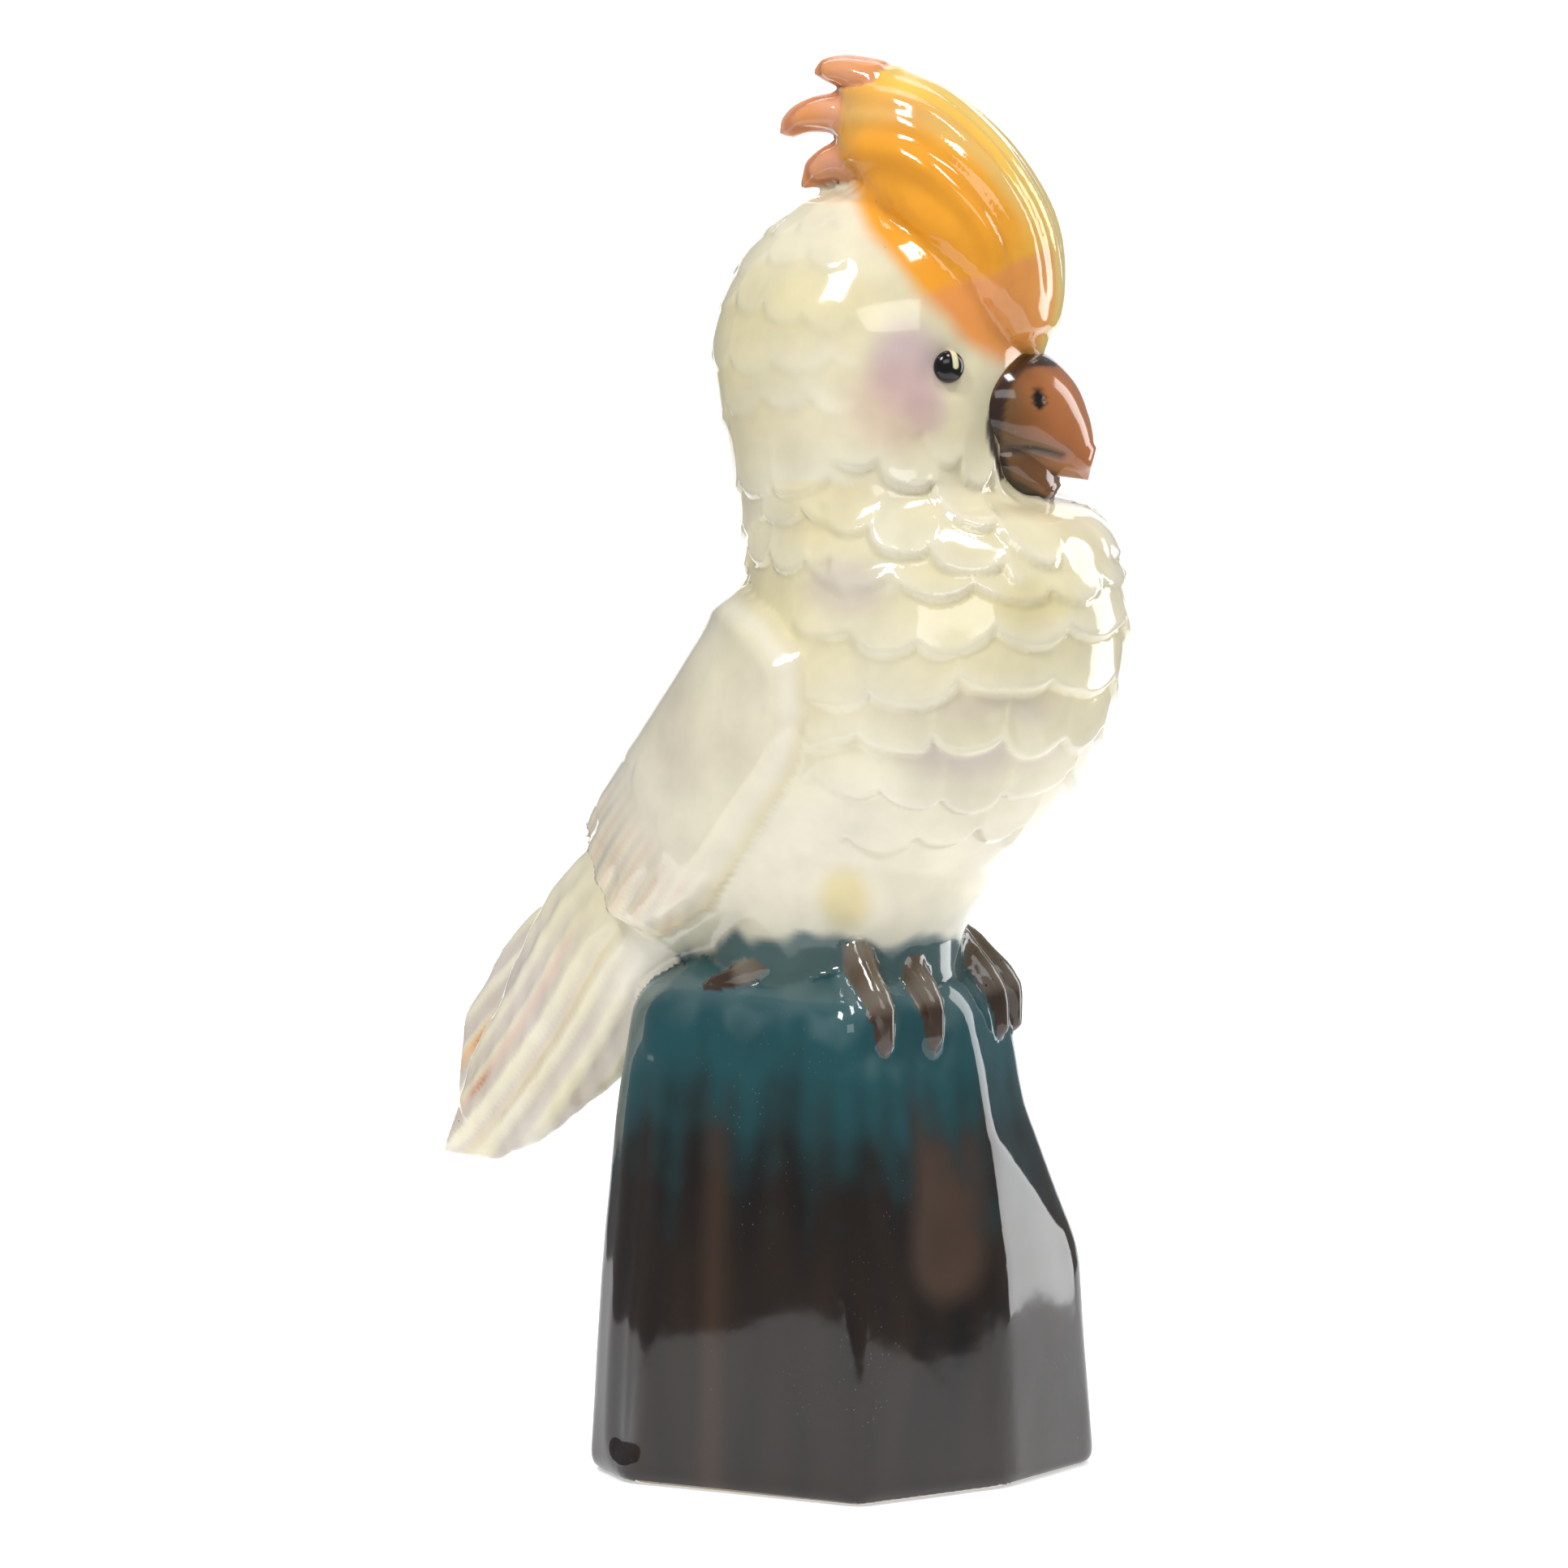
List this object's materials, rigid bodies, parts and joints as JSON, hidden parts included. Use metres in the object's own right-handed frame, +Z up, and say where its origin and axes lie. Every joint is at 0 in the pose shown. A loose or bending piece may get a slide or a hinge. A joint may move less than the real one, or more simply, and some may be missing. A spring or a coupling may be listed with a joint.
{
  "type": "cockatoo figurine",
  "caption": "Glazed porcelain cockatoo with a swept-back crest, perched on a tall faceted tree stump; free-standing ornament.",
  "frame": {"origin": "middle of the bounding box in x and y, at the foot ring's plane", "axes": "+Z up, -Y the way the bird's body faces, -X its right side"},
  "size_m": [0.0523, 0.086, 0.1608],
  "materials": {
    "cream_glaze": "clear gloss glaze over cream body with faint yellow and mauve tints",
    "crest_glaze": "clear gloss glaze over hand-painted yellow and orange",
    "beak_glaze": "clear gloss glaze over hand-painted brown and rust",
    "eye_enamel": "glossy black enamel",
    "toe_glaze": "gloss glaze over brown brushwork",
    "stump_glaze": "heavy gloss glaze, teal at the top running into near-black brown, bare foot ring"
  },
  "bodies": {
    "root": {"crest": "crest_glaze", "crest_plume_low": "crest_glaze", "crest_plume_middle": "crest_glaze", "crest_plume_top": "crest_glaze", "head": "cream_glaze", "left_eye": "eye_enamel", "left_flight_feathers": "cream_glaze", "left_inner_toe": "toe_glaze", "left_outer_toe": "toe_glaze", "left_rear_toe": "toe_glaze", "left_wing": "cream_glaze", "lower_mandible": "beak_glaze", "right_eye": "eye_enamel", "right_flight_feathers": "cream_glaze", "right_inner_toe": "toe_glaze", "right_outer_toe": "toe_glaze", "right_rear_toe": "toe_glaze", "right_wing": "cream_glaze", "stump": "stump_glaze", "tail": "cream_glaze", "torso": "cream_glaze", "upper_mandible": "beak_glaze"}
  },
  "joints": []
}
